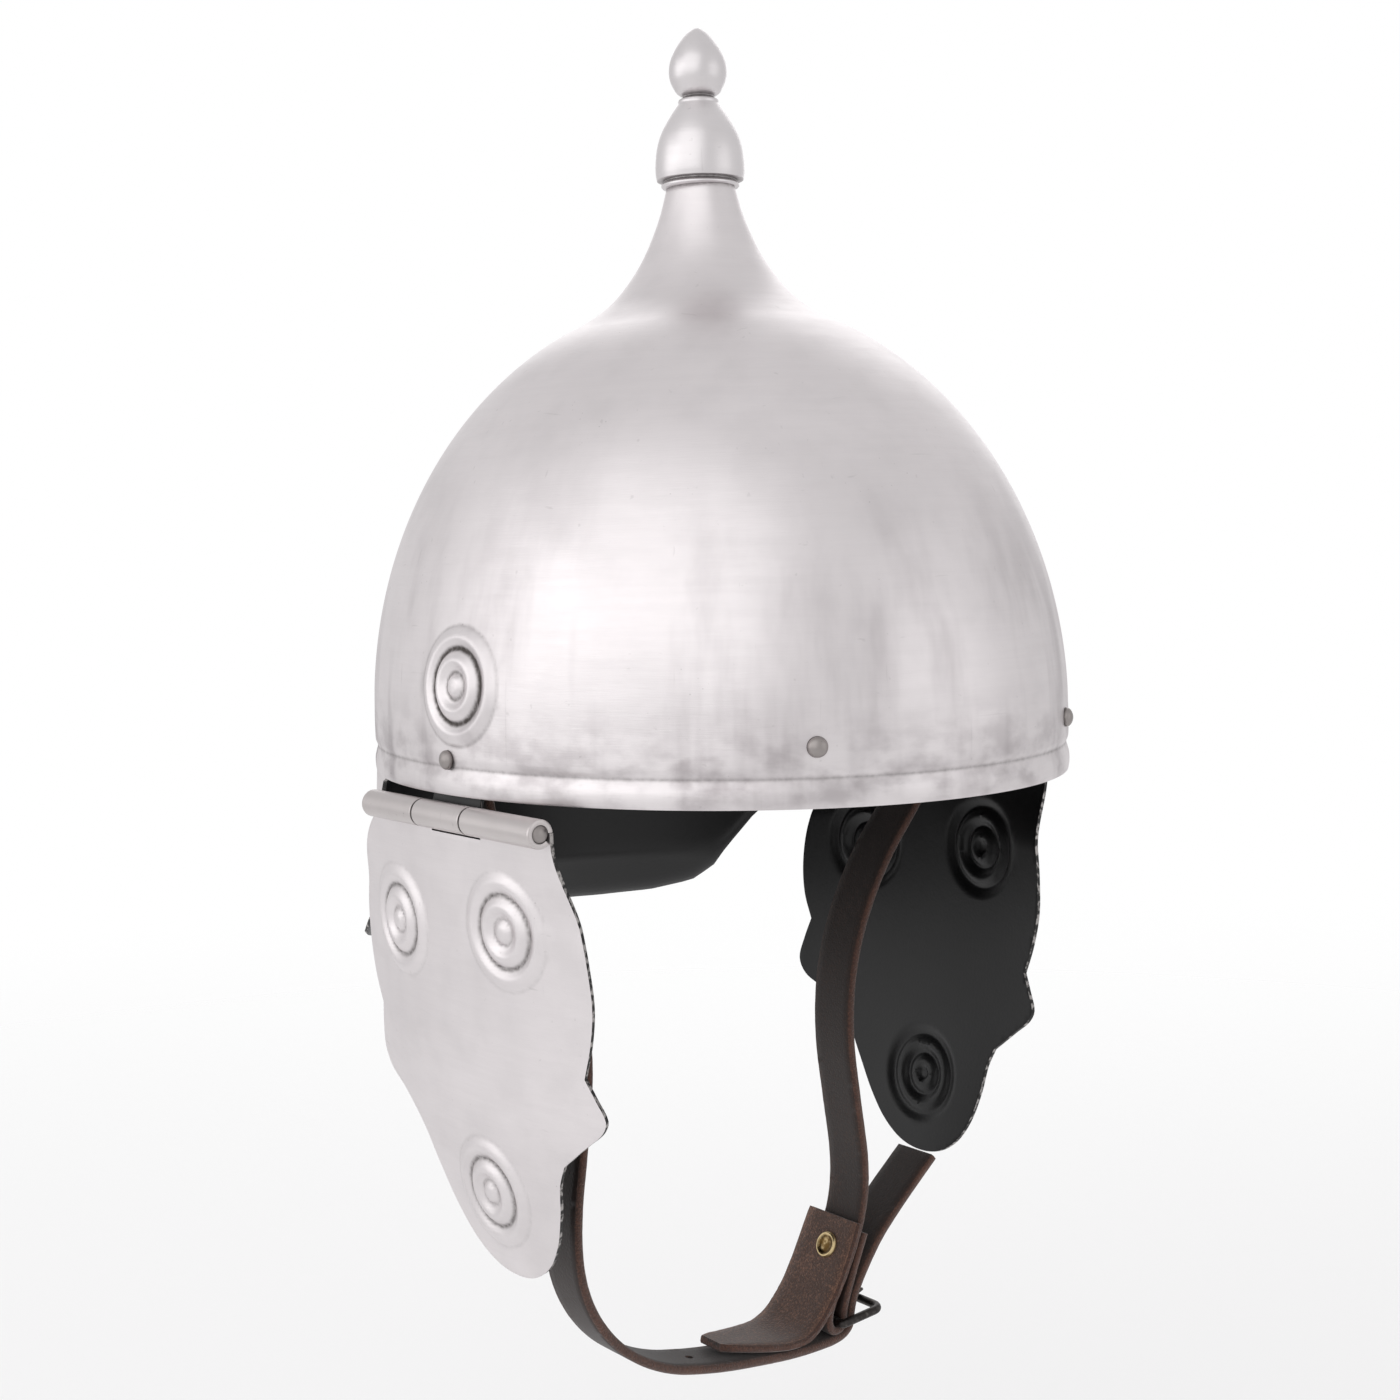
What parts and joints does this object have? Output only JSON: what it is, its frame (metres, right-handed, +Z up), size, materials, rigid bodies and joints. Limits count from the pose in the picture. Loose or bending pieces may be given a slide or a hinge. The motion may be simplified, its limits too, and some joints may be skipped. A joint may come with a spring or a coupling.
{
  "type": "helmet",
  "caption": "Oval steel helmet with a conical neck and turned finial, flared neck guard, hinged cheek plates, leather liner and buckled chin strap.",
  "frame": {"origin": "centre of the rim's lower edge, on the wearer's midline, where the head enters the bowl", "axes": "+Z up along the bowl's axis through the finial, front towards -Y, wearer's right towards -X"},
  "size_m": [0.2224, 0.2615, 0.4454],
  "materials": {
    "steel": "satin brushed, faint warm tone",
    "bright_steel": "turned and polished",
    "hinge_steel": "worn bare steel",
    "liner_leather": "dark, matt flesh side",
    "strap_leather": "dark brown, smooth with a slight sheen",
    "guard_leather": "rough flesh side, speckled",
    "thong_leather": "matt cord",
    "brass": "antique brass, satin",
    "gunmetal": "dark gunmetal"
  },
  "bodies": {
    "helmet": {"bowl": "steel", "finial_lower_bulb": "bright_steel", "finial_upper_bulb": "bright_steel", "finial_stud": "hinge_steel", "finial_washer": "hinge_steel", "finial_nut": "hinge_steel", "hinge_leaf_left": "hinge_steel", "hinge_leaf_right": "hinge_steel", "hinge_pin_left": "hinge_steel", "hinge_pin_right": "hinge_steel", "liner": "liner_leather", "liner_thong": "thong_leather", "rim_rivets": "bright_steel", "hinge_rivets": "bright_steel", "rivet_burrs": "hinge_steel", "chin_strap_right": "strap_leather", "chin_strap_left": "strap_leather", "strap_guard": "guard_leather", "strap_rivet": "brass", "strap_rivet_burr": "brass"},
    "cheek_plate_right": {"cheek_right": "steel"},
    "cheek_plate_left": {"cheek_left": "steel"},
    "buckle": {"buckle_frame": "gunmetal"},
    "prong": {"buckle_prong": "gunmetal"}
  },
  "joints": [
    {"name": "cheek_right_hinge", "type": "hinge", "parent": "helmet", "child": "cheek_plate_right", "pos_m": [-0.107, -0.0053, -0.0063], "axis": [0, 1, 0], "range_deg": [-6, 150]},
    {"name": "cheek_left_hinge", "type": "hinge", "parent": "helmet", "child": "cheek_plate_left", "pos_m": [0.107, -0.0053, -0.0063], "axis": [0, -1, 0], "range_deg": [-6, 150]},
    {"name": "buckle_swivel", "type": "hinge", "parent": "helmet", "child": "buckle", "pos_m": [0.0405, -0.0035, -0.2005], "axis": [0, -1, 0], "range_deg": [-5, 5]},
    {"name": "prong_pivot", "type": "hinge", "parent": "buckle", "child": "prong", "pos_m": [0.0405, -0.0035, -0.2005], "axis": [0, -1, 0], "range_deg": [0, 5]}
  ]
}
